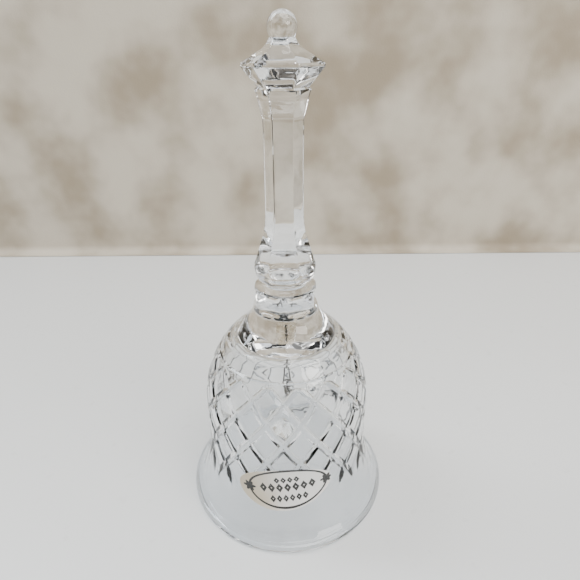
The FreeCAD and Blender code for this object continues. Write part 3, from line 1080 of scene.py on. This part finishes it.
@dataclass
class Lattice:
    """Slightly crowned diamonds cut round the cup by two families of slanting grooves."""

    cup: Cup
    columns: int = 16
    rows: int = 7
    divisions: int = 20
    start_turn: float = math.radians(-92.0)
    base_height: float = 0.028
    row_height: float = 0.00975
    row_shrink: float = 0.000062
    tail_drop: float = 0.00575
    groove_depth: float = 0.0009
    groove_width: float = 0.15
    crown: float = 0.00025
    top_row: float = 5.0
    last_row: float = -1.0
    top_fade: tuple[float, float] = (4.7, 5.0)
    tail_fade: tuple[float, float] = (-0.85, -0.1)
    row_slack: float = 0.001
    weld: float = 1e-5

    def level(self, row: float) -> float:
        """Height of a row of crossings.

        Args:
            row: Number of the row; tails of the grooves run below row 0.

        Returns:
            Its height above the table.
        """
        if row >= 0:
            return self.base_height + self.row_height * row - self.row_shrink * row ** 3
        return self.base_height + self.row_height * row - self.tail_drop * row * row

    def grow(self, material: bpy.types.Material) -> bpy.types.Mesh:
        """Cut the lattice.

        Args:
            material: The glass.

        Returns:
            A band of the cup's outer surface, open at its lower and upper edges.
        """
        sizes = {
            "Divisions": self.divisions, "Columns": self.columns, "Rows": self.rows,
            "Body Radius": self.cup.body_radius, "Dome Radius": self.cup.dome_radius,
            "Flare Radius": self.cup.flare_radius, "Shoulder": self.cup.shoulder_height,
            "Waist": self.cup.waist_height, "Groove Depth": self.groove_depth,
            "Groove Width": self.groove_width, "Crown": self.crown, "Glass": material}
        return grow("lattice", bpy.data.meshes.new("seed"), self._tree(), sizes)

    def _tree(self) -> bpy.types.NodeTree:
        """Geometry tree that repeats one cell and wraps it round the cup.

        Returns:
            The tree.
        """
        recipe = GeometryRecipe("diamond_lattice", {
            "Divisions": ("NodeSocketInt", 8), "Columns": ("NodeSocketInt", 16),
            "Rows": ("NodeSocketInt", 7), "Body Radius": ("NodeSocketFloat", 0.03),
            "Dome Radius": ("NodeSocketFloat", 0.04), "Flare Radius": ("NodeSocketFloat", 0.04),
            "Shoulder": ("NodeSocketFloat", 0.046), "Waist": ("NodeSocketFloat", 0.027),
            "Groove Depth": ("NodeSocketFloat", 0.001), "Groove Width": ("NodeSocketFloat", 0.25),
            "Crown": ("NodeSocketFloat", 0.0002), "Glass": ("NodeSocketMaterial", None)})
        cells = self._cells(recipe)
        place = recipe.value("GeometryNodeInputPosition")
        p, q, _ = recipe.parts(place)
        row = p - q
        beyond = recipe.largest(row > self.top_row + self.row_slack, row < self.last_row - self.row_slack)
        kept = recipe.value("GeometryNodeDeleteGeometry", {"domain": "FACE"},
                            {"Geometry": cells, "Selection": beyond})
        wrapped = recipe.value("GeometryNodeSetPosition", {}, {
            "Geometry": kept, "Position": self._wrap(recipe, p, q)})
        outward = recipe.value("GeometryNodeFlipFaces", {}, {"Mesh": wrapped})
        joined = recipe.value("GeometryNodeMergeByDistance", {}, {
            "Geometry": outward, "Distance": self.weld})
        return recipe.deliver(joined, recipe.given("Glass"))

    def _cells(self, recipe: GeometryRecipe) -> Value:
        """Square cells side by side on the plane of the two groove families.

        Args:
            recipe: The tree being written.

        Returns:
            The cells as one flat mesh.
        """
        divisions = recipe.given("Divisions") + 1
        cell = recipe.value("GeometryNodeMeshGrid", {}, {
            "Size X": 1.0, "Size Y": 1.0, "Vertices X": divisions, "Vertices Y": divisions})
        cell = recipe.value("GeometryNodeTriangulate", {"quad_method": "FIXED"}, {"Mesh": cell})
        columns = recipe.given("Columns")
        points = recipe.value("GeometryNodePoints", {}, {"Count": columns * recipe.given("Rows")})
        index = recipe.value("GeometryNodeInputIndex")
        column = index % columns
        level = recipe.maths("FLOOR", index / columns)
        row = level + self.last_row
        turn = column * 2 + level % 2.0
        middle = recipe.value("ShaderNodeCombineXYZ", {}, {0: (turn + row) / 2, 1: (turn - row) / 2})
        points = recipe.value("GeometryNodeSetPosition", {}, {"Geometry": points, "Position": middle})
        laid = recipe.value("GeometryNodeInstanceOnPoints", {}, {"Points": points, "Instance": cell})
        return recipe.value("GeometryNodeRealizeInstances", {}, {"Geometry": laid})

    def _wrap(self, recipe: GeometryRecipe, p: Value, q: Value) -> Value:
        """Place on the cup of a point between the groove families.

        Args:
            recipe: The tree being written.
            p: Number of the groove of the first family, a whole number on the groove.
            q: The same for the second family.

        Returns:
            Position in metres.
        """
        turn = (p + q) * (math.pi / self.columns) + self.start_turn
        row = p - q
        above = recipe.maths("MAXIMUM", row, 0.0)
        below = recipe.maths("MINIMUM", row, 0.0)
        height = (row * self.row_height + self.base_height - above * above * above * self.row_shrink
                  - below * below * self.tail_drop)
        rise = recipe.maths("MAXIMUM", height - recipe.given("Shoulder"), 0.0)
        drop = recipe.maths("MAXIMUM", recipe.given("Waist") - height, 0.0)
        dome = recipe.given("Dome Radius")
        flare = recipe.given("Flare Radius")
        radius = (recipe.given("Body Radius") + recipe.maths("SQRT", dome * dome - rise * rise) - dome
                  + flare - recipe.maths("SQRT", flare * flare - drop * drop))
        strength = (1 - recipe.step(*self.top_fade, row)) * recipe.step(*self.tail_fade, row)
        away = [abs(line - recipe.maths("ROUND", line)) for line in (p, q)]
        cuts = [recipe.maths("MAXIMUM", strength - (gap / recipe.given("Groove Width")) ** 2, 0.0)
                for gap in away]
        slopes = (1 - away[0] * 2) ** 2 + (1 - away[1] * 2) ** 2
        reach = (radius - recipe.largest(*cuts) * recipe.given("Groove Depth")
                 - slopes * strength * recipe.given("Crown"))
        return recipe.value("ShaderNodeCombineXYZ", {}, {
            0: recipe.maths("COSINE", turn) * reach, 1: recipe.maths("SINE", turn) * reach, 2: height})


@dataclass
class Handle:
    """Solid handle: six-sided collar, notch, knop, six-sided shaft, pointed finial and ball."""

    seat_height: float
    columns: int = 144
    sides: int = 6
    collar_turn: float = math.radians(27.0)
    shaft_turn: float = math.radians(-2.0)
    finial_turn: float = math.radians(-8.0)
    ball_radius: float = 0.0045
    rounding: float = 0.00012
    ring_step: float = 0.001
    collar_top: float = 0.0112
    shaft_top: float = 0.0766
    ball_start: float = math.radians(-38.0)
    ball_rings: int = 20
    rounds: tuple[tuple[float, float], ...] = (
        (0.0, 0.0123), (0.0014, 0.01215), (0.0024, 0.0123), (0.0080, 0.0121), (0.0090, 0.0117),
        (0.0097, 0.0110), (0.0102, 0.0098), (0.0107, 0.0084), (0.0112, 0.0080), (0.0117, 0.0083),
        (0.0121, 0.0095), (0.0128, 0.0102), (0.0145, 0.0109), (0.0165, 0.0112), (0.0180, 0.0111),
        (0.0195, 0.0107), (0.0210, 0.0102), (0.0230, 0.0104), (0.0260, 0.0120), (0.0852, 0.0140),
        (0.0872, 0.0063), (0.0888, 0.0047), (0.0902, 0.0039))
    flats: tuple[tuple[float, float], ...] = (
        (0.0, 0.0150), (0.0010, 0.0145), (0.0018, 0.0129), (0.0024, 0.0125), (0.0080, 0.0125),
        (0.0092, 0.0132), (0.0105, 0.0140), (0.0160, 0.0140), (0.0172, 0.0125), (0.0185, 0.01115),
        (0.0200, 0.01045), (0.0225, 0.0097), (0.0255, 0.0088), (0.0285, 0.0078), (0.0315, 0.0071),
        (0.0350, 0.00675), (0.0400, 0.00665), (0.0620, 0.00665), (0.0680, 0.0068), (0.0710, 0.0076),
        (0.0740, 0.0082), (0.0757, 0.0088), (0.0763, 0.0089), (0.0768, 0.0083), (0.0772, 0.0087),
        (0.0822, 0.01295), (0.0826, 0.0131), (0.0831, 0.0131), (0.0836, 0.0128), (0.0852, 0.0098),
        (0.0872, 0.0066), (0.0888, 0.0049), (0.0902, 0.0041))

    def heights(self) -> list[float]:
        """Levels of the rings.

        Returns:
            Heights above the seat, rising, one at every place of the two tables.
        """
        marks = sorted({place for place, _ in self.rounds + self.flats if 0 < place <= self.flats[-1][0]})
        levels = [0.0]
        for mark in marks:
            steps = max(1, math.ceil((mark - levels[-1]) / self.ring_step - 1e-6))
            start = levels[-1]
            levels += [start + (mark - start) * step / steps for step in range(1, steps + 1)]
        return levels

    def turn(self, level: float) -> float:
        """How far the six sides are turned.

        Args:
            level: Height above the seat.

        Returns:
            Direction of the first corner.
        """
        if level < self.collar_top:
            return self.collar_turn
        return self.shaft_turn if level < self.shaft_top else self.finial_turn

    def angles(self, level: float) -> list[float]:
        """Directions of the points of a ring, with one on each corner of the six sides.

        Args:
            level: Height above the seat.

        Returns:
            The directions, rising.
        """
        pitch = 2 * math.pi / self.columns
        lean = (self.turn(level) + pitch / 2) % pitch - pitch / 2
        return [-math.pi + pitch * number + lean + pitch / 2 for number in range(self.columns)]

    def radius(self, level: float, angle: float) -> float:
        """Distance of the surface from the axis.

        Args:
            level: Height above the seat.
            angle: Direction round the axis.

        Returns:
            The radius.
        """
        side = 2 * math.pi / self.sides
        off_flat = (angle - self.turn(level)) % side - side / 2
        flat = along(self.flats, level) * math.cos(side / 2) / math.cos(off_flat)
        return soft_least(along(self.rounds, level), flat, self.rounding)

    def build(self, skin: Skin, seat: list[int]) -> None:
        """Add the handle to the crystal.

        Args:
            skin: The surface so far.
            seat: The ring that the handle rises from.
        """
        last = seat
        for level in self.heights()[1:]:
            ring = skin.ring(self.angles(level), lambda angle: self.radius(level, angle),
                             self.seat_height + level)
            skin.bridge(last, ring)
            last = ring
        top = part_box("handle_stem")[1].z
        centre = top - self.ball_radius
        for step in range(self.ball_rings):
            lift = self.ball_start + (math.pi / 2 - self.ball_start) * step / self.ball_rings
            ring = skin.ring(self.angles(self.flats[-1][0]), self.ball_radius * math.cos(lift),
                             centre + self.ball_radius * math.sin(lift))
            skin.bridge(last, ring)
            last = ring
        skin.bridge(last, skin.pole(top))


@dataclass
class Crystal:
    """Cup and handle, fused into one piece of glass."""

    finish: Finish = CrystalGlass("cup_crystal")
    cup: Cup = field(default_factory=Cup)
    crease: float = 24.0

    def build(self) -> bpy.types.Object:
        """Make the glass and put it in the place of the two CAD solids.

        Returns:
            The crystal.
        """
        material = self.finish.dress()
        lattice = Lattice(self.cup)
        skin = Skin()
        levels = [lattice.level(lattice.last_row), lattice.level(lattice.top_row)]
        lower, upper = skin.borrow(lattice.grow(material), levels)
        angles = [skin.bearing(number) for number in lower]
        last = skin.pole(self.cup.ceiling)
        for radius, height in self.cup.inside() + self.cup.lip(levels[0]):
            ring = skin.ring(angles, radius, height)
            skin.bridge(last, ring)
            last = ring
        skin.bridge(last, lower)
        last = upper
        for radius, height in self.cup.dome():
            ring = skin.ring(angles, radius, height)
            skin.bridge(last, ring)
            last = ring
        Handle(self.cup.seat_height).build(skin, last)
        crystal = skin.finish("crystal_body", material, self.crease)
        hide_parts("bell_shell", "handle_stem")
        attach(crystal, Body.BELL.value)
        return crystal


# --------------------------------------------------------------------------- the clapper


@dataclass
class ClapperWire:
    """Wire bent into a narrow loop, with its tail wound loosely round the shank."""

    finish: Finish = WireSteel("clapper_steel")
    wire: float = 0.0003
    bend: float = 0.00076
    loop_height: float = 0.006
    loop_width: float = 0.0027
    loop_corner: float = 0.0006
    tail_radii: tuple[float, float] = (0.0014, 0.00105)
    tail_pitch: float = 0.002
    tail_turns: float = 3.0
    tail_sway: float = 0.00012
    tail_wave: float = 0.00018
    tail_steps: int = 28
    bend_steps: int = 16
    corner_steps: int = 6
    loop_gap: float = 0.00035
    sides: int = 14
    crease: float = 40.0

    def build(self) -> bpy.types.Object:
        """Bend the wire and put it in the place of its CAD solid.

        Returns:
            The wire.
        """
        material = self.finish.dress()
        hinge = next(joint for joint in frame["record"]["behaviour"]["joints"]
                     if joint["name"] == "clapper_swing")
        eye = Vector(hinge["pos_m"])
        curve = bpy.data.curves.new("clapper_wire_path", "CURVE")
        curve.dimensions = "3D"
        for run in (self._loop(eye), self._tail(eye)):
            spline = curve.splines.new("POLY")
            spline.points.add(len(run) - 1)
            for point, place in zip(spline.points, run):
                point.co = (*place, 1.0)
        mesh = grow("clapper_wire_bent", curve, self._tree(), {
            "Wire Radius": self.wire, "Sides": self.sides, "Steel": material})
        mesh.shade_smooth()
        mesh.set_sharp_from_angle(angle=math.radians(self.crease))
        wire = settle("clapper_wire_bent", mesh)
        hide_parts("clapper_wire")
        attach(wire, Body.CLAPPER.value)
        return wire

    def _loop(self, eye: Vector) -> list[Vector]:
        """Path up the shank and once round the loop, with rounded corners.

        Args:
            eye: Middle of the bend that hangs on the link.

        Returns:
            Points of the path.
        """
        base = eye.z - self.loop_height
        half = self.loop_width / 2
        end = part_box("clapper_wire")[0].z
        path = [Vector((0.0, 0.0, end))]
        path += self._round((0.0, end), (0.0, base), (half, base))
        path += self._round((0.0, base), (half, base), (self.bend, eye.z))
        lean = math.atan2(half - self.bend, self.loop_height)
        for step in range(self.bend_steps + 1):
            turn = (math.pi + 2 * lean) * step / self.bend_steps - lean
            path.append(Vector((self.bend * math.cos(turn), 0.0, eye.z + self.bend * math.sin(turn))))
        path += self._round((-self.bend, eye.z), (-half, base), (0.0, base))
        path.append(Vector((-self.loop_gap, 0.0, base)))
        return path

    def _round(self, before: tuple[float, float], corner: tuple[float, float],
               after: tuple[float, float]) -> list[Vector]:
        """A corner of the path turned smoothly.

        Args:
            before: Where the path comes from, across and up.
            corner: The corner itself.
            after: Where the path goes.

        Returns:
            Points of the turn.
        """
        start = Vector(corner) + (Vector(before) - Vector(corner)).normalized() * self.loop_corner
        end = Vector(corner) + (Vector(after) - Vector(corner)).normalized() * self.loop_corner
        points = []
        for step in range(self.corner_steps + 1):
            t = step / self.corner_steps
            place = start * (1 - t) ** 2 + Vector(corner) * 2 * t * (1 - t) + end * t * t
            points.append(Vector((place.x, 0.0, place.y)))
        return points

    def _tail(self, eye: Vector) -> list[Vector]:
        """Path of the wound tail, down round the shank and a little uneven.

        Args:
            eye: Middle of the bend that hangs on the link.

        Returns:
            Points of the path.
        """
        base = eye.z - self.loop_height
        steps = round(self.tail_turns * self.tail_steps)
        path = []
        for step in range(steps + 1):
            share = step / steps
            turn = 2 * math.pi * self.tail_turns * share
            reach = self.tail_radii[0] + (self.tail_radii[1] - self.tail_radii[0]) * share
            reach += self.tail_sway * math.sin(turn * 0.37 + 0.6)
            drop = self.tail_pitch * self.tail_turns * share + self.tail_wave * math.sin(turn + 0.8)
            path.append(Vector((reach * math.cos(turn), reach * math.sin(turn), base - drop)))
        return path

    @staticmethod
    def _tree() -> bpy.types.NodeTree:
        """Geometry tree that gives a path its round wire.

        Returns:
            The tree.
        """
        recipe = GeometryRecipe("wire_sweep", {
            "Wire Radius": ("NodeSocketFloat", 0.0003), "Sides": ("NodeSocketInt", 12),
            "Steel": ("NodeSocketMaterial", None)})
        section = recipe.value("GeometryNodeCurvePrimitiveCircle", {}, {
            "Resolution": recipe.given("Sides"), "Radius": recipe.given("Wire Radius")})
        swept = recipe.value("GeometryNodeCurveToMesh", {}, {
            "Curve": recipe.given("Geometry"), "Profile Curve": section, "Fill Caps": True})
        return recipe.deliver(swept, recipe.given("Steel"))


@dataclass
class Bead:
    """Faceted glass bead, drilled through, that strikes the cup."""

    finish: Finish = CrystalGlass("bead_crystal", index=1.52, waviness=0.03)
    bore: float = 0.00038
    mouth: float = 0.000912
    flat_share: float = 0.985
    crease: float = 5.0
    facets: int = 12
    bands: tuple[float, ...] = (-66.0, -40.0, -13.5, 13.5, 40.0, 66.0)

    def build(self) -> bpy.types.Object:
        """Cut the bead and put it in the place of its CAD solid.

        Returns:
            The bead.
        """
        low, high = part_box("clapper_bead")
        radius = (high.x - low.x) / 2
        centre = (low.z + high.z) / 2
        half = (high.z - low.z) / 2
        skin = Skin()
        level = half * self.flat_share
        outline = [(self.bore, -level), (self.mouth, -level)]
        outline += [(radius * math.cos(math.radians(band)), radius * math.sin(math.radians(band)))
                    for band in self.bands]
        outline += [(self.mouth, level), (self.bore, level)]
        rings = []
        for number, (reach, lift) in enumerate(outline):
            shift = 0.5 if number % 2 else 0.0
            angles = [2 * math.pi * (step + shift) / self.facets - math.pi for step in range(self.facets)]
            rings.append(skin.ring(angles, reach, centre + lift))
        for number, (before, after) in enumerate(zip(rings, rings[1:])):
            self._facet(skin, before, after, number % 2 == 0)
        skin.bridge(rings[-1], rings[0][-1:] + rings[0][:-1])
        bead = skin.finish("clapper_bead_cut", self.finish.dress(), self.crease)
        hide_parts("clapper_bead")
        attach(bead, Body.BEAD.value)
        return bead

    @staticmethod
    def _facet(skin: Skin, before: Sequence[int], after: Sequence[int], forward: bool) -> None:
        """Join two rings, one turned by half a facet, with three-cornered facets.

        Args:
            skin: The surface that gets them.
            before: The lower ring.
            after: The upper ring.
            forward: True where the upper ring is the one turned forward.
        """
        count = len(before)
        for i in range(count):
            j = (i + 1) % count
            if forward:
                skin.faces.append((before[i], before[j], after[i]))
                skin.faces.append((before[j], after[j], after[i]))
            else:
                skin.faces.append((before[i], before[j], after[j]))
                skin.faces.append((before[i], after[j], after[i]))


@dataclass
class Fittings:
    """CAD solids that are right as they are and only take a better finish."""

    steel: Finish = WireSteel("hook_steel")
    cement: Finish = SetCement("set_cement")

    def build(self) -> None:
        """Dress the hook, link, stop and cement."""
        steel = self.steel.dress()
        for node in ("anchor_hook", "hanger_link", "bead_stop"):
            wear(node, steel)
        wear("anchor_cement", self.cement.dress())


@dataclass
class Label:
    """Oval sticker on the front of the flare, printed with a plain ornament."""

    node: str = "label"

    def build(self) -> None:
        """Print the sticker."""
        low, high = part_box(self.node)
        middle = ((low.x + high.x) / 2, (low.z + high.z) / 2)
        wear(self.node, PaperSticker("printed_paper", middle=middle).dress())


# --------------------------------------------------------------------------- surroundings


@dataclass(frozen=True)
class Lamp:
    """A soft rectangular light aimed at the bell."""

    name: str
    place: tuple[float, float, float]
    size: tuple[float, float]
    power: float
    colour: tuple[float, float, float]

    def hang(self, target: tuple[float, float, float]) -> None:
        """Hang the light.

        Args:
            target: Where it is aimed.
        """
        light = bpy.data.lights.new(self.name, "AREA")
        light.shape = "RECTANGLE"
        light.size, light.size_y = self.size
        light.energy = self.power
        light.color = self.colour
        lamp = bpy.data.objects.new(self.name, light)
        lamp.location = self.place
        lamp.rotation_euler = (Vector(target) - Vector(self.place)).to_track_quat("-Z", "Y").to_euler()
        bpy.context.scene.collection.objects.link(lamp)


@dataclass
class Studio:
    """Pale table, warm backdrop, soft lights and the room around them."""

    table_width: float = 2.4
    table_front: float = -1.2
    table_back: float = 0.252
    wall_height: float = 0.62
    bend: float = 0.006
    overlap: float = 0.05
    cloth_lift: float = 0.0004
    target: tuple[float, float, float] = (0.0, 0.0, 0.08)
    lamps: tuple[Lamp, ...] = (
        Lamp("window", (-0.75, 0.35, 0.85), (0.5, 0.7), 16.0, (0.86, 0.93, 1.0)),
        Lamp("overhead", (0.25, -0.25, 1.25), (0.9, 0.9), 12.5, (1.0, 0.99, 0.97)),
        Lamp("side", (0.6, -0.55, 0.5), (0.5, 0.3), 4.0, (1.0, 0.97, 0.92)))
    room_patches: float = 3.4
    room_tones: tuple[tuple[float, Colour], ...] = (
        (0.0, (0.08, 0.066, 0.052, 1.0)), (0.35, (0.36, 0.33, 0.3, 1.0)),
        (0.7, (0.85, 0.85, 0.86, 1.0)), (1.0, (1.5, 1.56, 1.66, 1.0)))
    room_glow: float = 0.9

    def build(self) -> None:
        """Lay the table, hang the backdrop and set the lights."""
        self._sheet("table_top", [(self.table_front, 0.0), (self.table_back + self.overlap, 0.0)],
                    TableTop("pale_paint"))
        outline = [(self.table_back, 0.0), (self.table_back + self.bend, 0.0)]
        outline += [(self.table_back + self.bend * (1 + math.sin(turn)), self.bend * (1 - math.cos(turn)))
                    for turn in (math.radians(15 * step) for step in range(1, 7))]
        outline.append((self.table_back + 2 * self.bend, self.wall_height))
        outline = [(y, z + self.cloth_lift) for y, z in outline]
        self._sheet("back_cloth", outline, BackCloth("warm_cloth"))
        for lamp in self.lamps:
            lamp.hang(self.target)
        self._room()

    def _sheet(self, name: str, outline: Sequence[tuple[float, float]], finish: Finish) -> None:
        """Make a wide sheet that follows an outline from front to back.

        Args:
            name: Name of the sheet.
            outline: Places along Y and heights of its points.
            finish: Its finish.
        """
        half = self.table_width / 2
        points = []
        for y, z in outline:
            points += [(-half, y, z), (half, y, z)]
        faces = [(2 * i, 2 * i + 1, 2 * i + 3, 2 * i + 2) for i in range(len(outline) - 1)]
        mesh = bpy.data.meshes.new(name)
        mesh.from_pydata(points, [], faces)
        mesh.materials.append(finish.dress())
        mesh.shade_smooth()
        settle(name, mesh)

    def _room(self) -> None:
        """Surround the table with a soft room that has lighter and darker parts."""
        world = bpy.data.worlds.new("room")
        world.use_nodes = True
        world.node_tree.nodes.clear()
        recipe = Recipe(world.node_tree)
        way = recipe.value("ShaderNodeTexCoord", {}, {}, "Generated")
        side, _, up = recipe.parts(way)
        patches = Finish.cloud(recipe, way, self.room_patches, 2.0)
        low_left = (1 - recipe.step(0.05, 0.45, up)) * (1 - recipe.step(-0.7, 0.4, side))
        lightness = recipe.step(0.36, 0.72, patches * 0.9 + recipe.step(0.1, 0.75, up) * 0.22
                                - low_left * 0.2)
        colour = recipe.value("ShaderNodeValToRGB", {"stops": self.room_tones}, {"Fac": lightness})
        glow = recipe.value("ShaderNodeBackground", {}, {"Color": colour, "Strength": self.room_glow})
        recipe.node("ShaderNodeOutputWorld", {}, {"Surface": glow})
        bpy.context.scene.world = world


@dataclass
class Viewpoint:
    """Camera close in front of the bell and above its middle."""

    place: tuple[float, float, float] = (0.00171, -0.1563, 0.175)
    pitch: float = math.radians(62.51)
    roll: float = math.radians(-0.46)
    lens: float = 29.17
    sensor: float = 36.0
    nearest: float = 0.01
    farthest: float = 20.0

    def build(self) -> None:
        """Make the scene's camera."""
        camera = bpy.data.cameras.new("viewpoint")
        camera.lens = self.lens
        camera.sensor_width = self.sensor
        camera.clip_start = self.nearest
        camera.clip_end = self.farthest
        eye = bpy.data.objects.new("viewpoint", camera)
        eye.matrix_world = (Matrix.Translation(self.place) @ Matrix.Rotation(self.pitch, 4, "X")
                            @ Matrix.Rotation(self.roll, 4, "Z"))
        bpy.context.scene.collection.objects.link(eye)
        bpy.context.scene.camera = eye


def main() -> None:
    """Build every piece in order."""
    logging.basicConfig(level=logging.INFO, format="%(message)s", stream=sys.stdout)
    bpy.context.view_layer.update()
    Viewpoint().build()
    log.info("camera placed")
    crystal = Crystal().build()
    log.info("crystal body: %d faces", len(crystal.data.polygons))
    wire = ClapperWire().build()
    log.info("clapper wire: %d faces", len(wire.data.polygons))
    bead = Bead().build()
    log.info("bead: %d faces", len(bead.data.polygons))
    Fittings().build()
    log.info("hook, link, stop and cement dressed")
    Label().build()
    log.info("label printed")
    Studio().build()
    log.info("table, backdrop and lights set")


if __name__ == "__main__":
    main()
